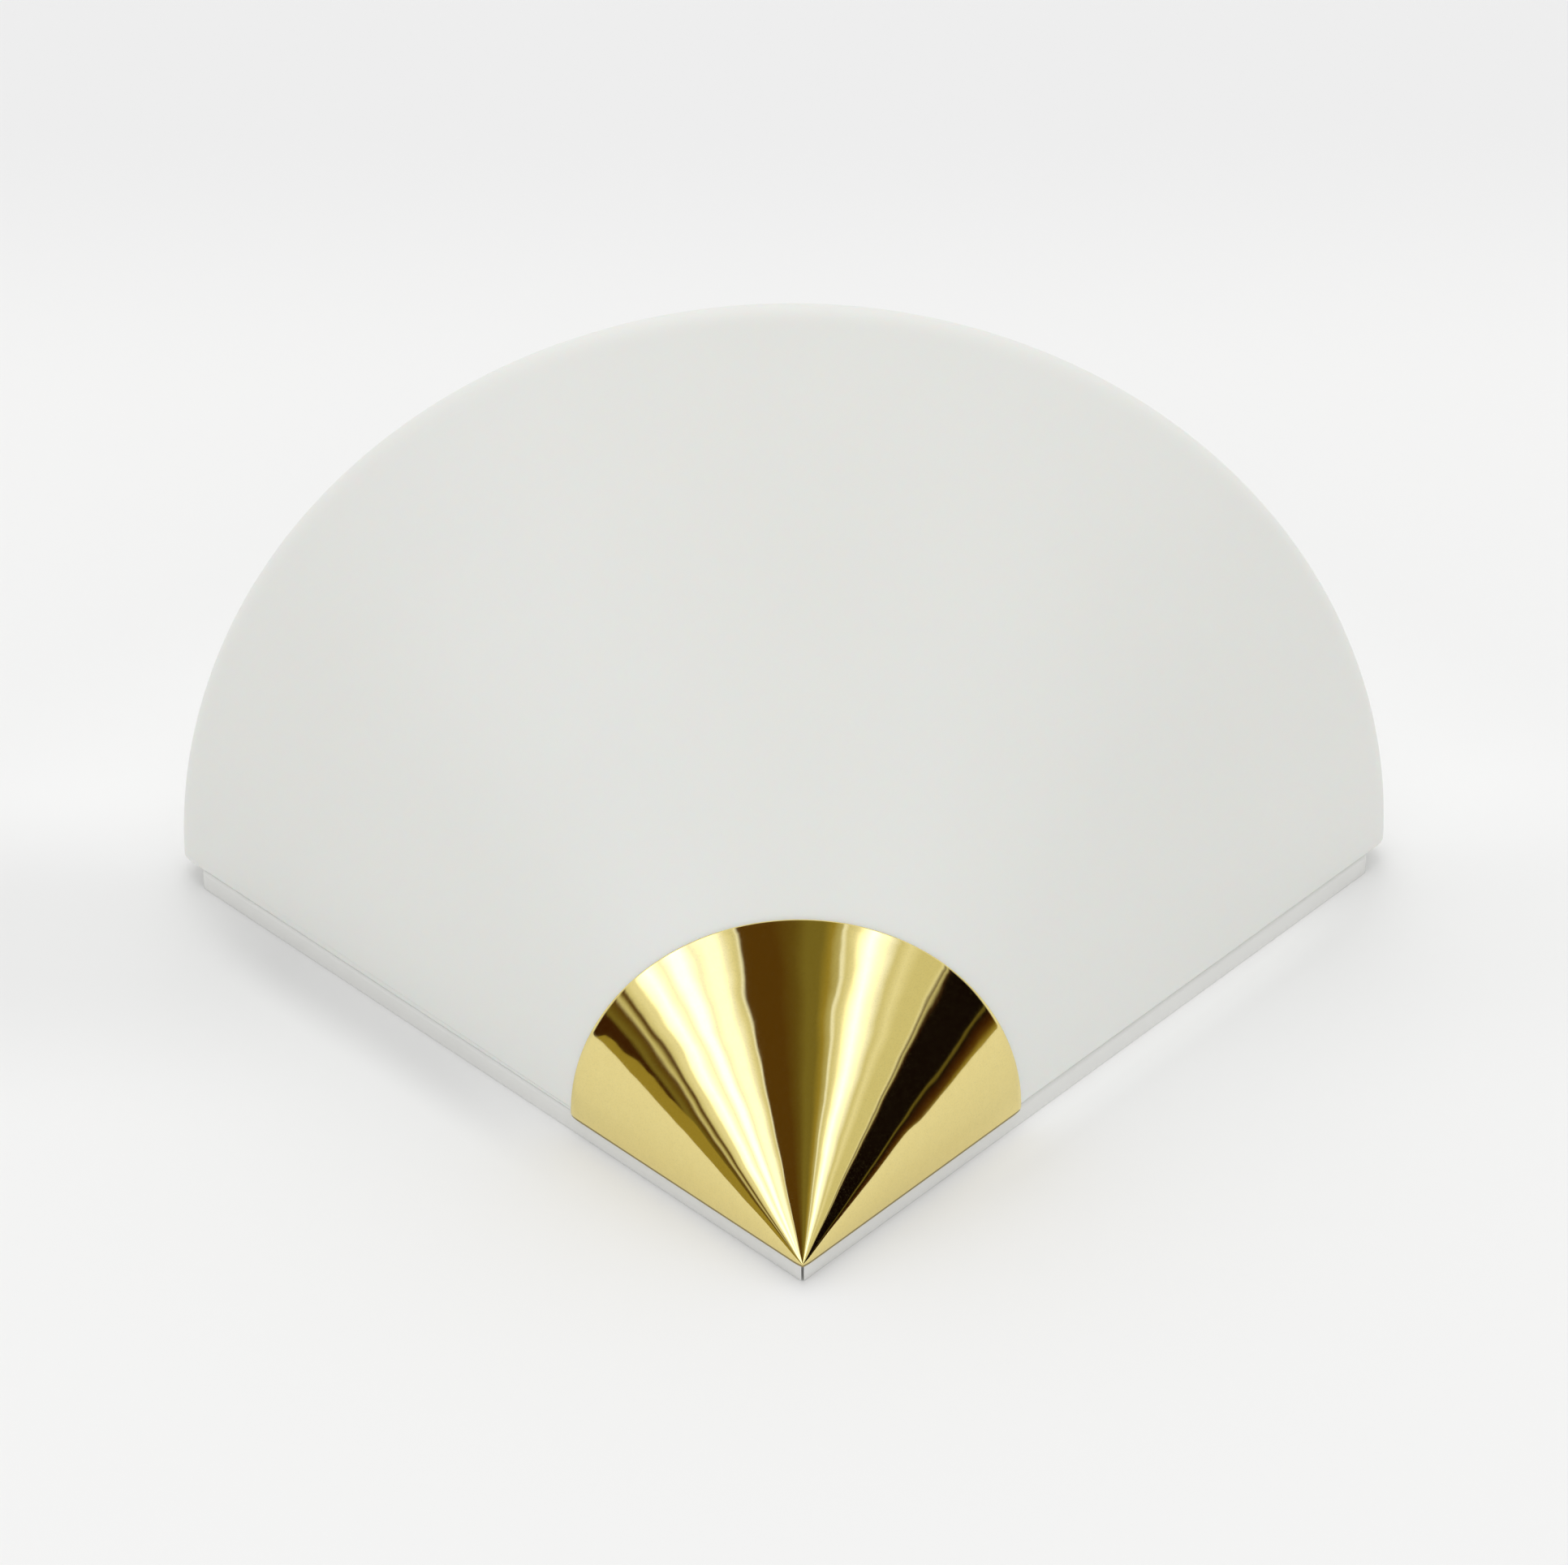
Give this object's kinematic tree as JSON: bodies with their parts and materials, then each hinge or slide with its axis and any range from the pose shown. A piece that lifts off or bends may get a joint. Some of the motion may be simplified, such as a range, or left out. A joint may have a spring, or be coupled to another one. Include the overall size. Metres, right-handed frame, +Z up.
{
  "type": "wall sconce",
  "caption": "Half-cone opal glass wall light on a folded sheet plate, held at its point by a polished cap, open at the top, with a screw-base lamp lying across the inside.",
  "frame": {"origin": "on the wall plane, midway between the two wall screw slots", "axes": "+Z up, +X to the viewer's right, +Y into the wall, so the light stands out towards -Y"},
  "size_m": [0.3, 0.1553, 0.1909],
  "materials": {
    "opal_glass": "satin etched white opal",
    "polished_brass": "mirror polished and lacquered",
    "brass_plain": "plain turned",
    "white_paint": "smooth white powder coat on steel sheet",
    "zinc_steel": "bright zinc plated",
    "spring_steel": "rolled stainless strip",
    "rivet_alloy": "plain",
    "silicone": "translucent white silicone",
    "white_rubber": "moulded white rubber",
    "holder_plastic": "moulded thermoset",
    "porcelain": "glazed ceramic",
    "block_plastic": "natural polyamide",
    "wire_brown": "heat-resistant insulation",
    "wire_blue": "heat-resistant insulation",
    "wire_green_yellow": "green and yellow insulation",
    "lamp_glass": "inside frosted",
    "lamp_aluminium": "drawn shell",
    "black_glass": "black pressed glass",
    "lamp_solder": "tinned contact",
    "stem_glass": "clear",
    "tungsten": "coiled wire"
  },
  "bodies": {
    "wall_unit": {"backplate": "white_paint", "cable_grommet": "white_rubber", "tip_bracket": "zinc_steel", "tip_bracket_rivets": "rivet_alloy", "side_spring_left": "spring_steel", "side_spring_right": "spring_steel", "spring_sleeve_left": "silicone", "spring_sleeve_right": "silicone", "spring_rivets": "rivet_alloy", "holder_bracket": "white_paint", "bracket_screws": "zinc_steel", "bracket_nuts": "zinc_steel", "holder_nipple": "zinc_steel", "nipple_washer": "zinc_steel", "nipple_nut": "brass_plain", "holder_cap": "holder_plastic", "holder_body": "holder_plastic", "holder_insert": "porcelain", "contact_sleeve": "brass_plain", "centre_contact": "brass_plain", "terminal_block": "block_plastic", "terminal_tubes": "brass_plain", "terminal_screws": "zinc_steel", "terminal_block_screws": "zinc_steel", "earth_stud": "brass_plain", "earth_washer": "zinc_steel", "earth_nut": "brass_plain", "earth_tag": "brass_plain", "live_wire": "wire_brown", "neutral_wire": "wire_blue", "earth_wire": "wire_green_yellow"},
    "bulb": {"bulb_glass": "lamp_glass", "bulb_shell": "lamp_aluminium", "bulb_insulator": "black_glass", "bulb_contact": "lamp_solder", "bulb_stem": "stem_glass", "bulb_filament": "tungsten"},
    "shade": {"glass_shade": "opal_glass", "tip_cap": "polished_brass", "tip_cushion": "white_rubber", "cap_plug": "brass_plain", "cap_stud": "zinc_steel", "stud_washer": "brass_plain"},
    "cap_nut": {"knurled_nut": "brass_plain"}
  },
  "joints": [
    {"name": "shade_pull", "type": "slide", "parent": "wall_unit", "child": "shade", "axis": [0, -1, 0], "range_m": [0, 0.09]},
    {"name": "bulb_out", "type": "slide", "parent": "wall_unit", "child": "bulb", "axis": [1, 0, 0], "range_m": [0, 0.025]},
    {"name": "nut_turn", "type": "hinge", "parent": "shade", "child": "cap_nut", "pos_m": [0, -0.0136, -0.08], "axis": [0, 0, 1], "range_deg": [0, 1080]}
  ]
}
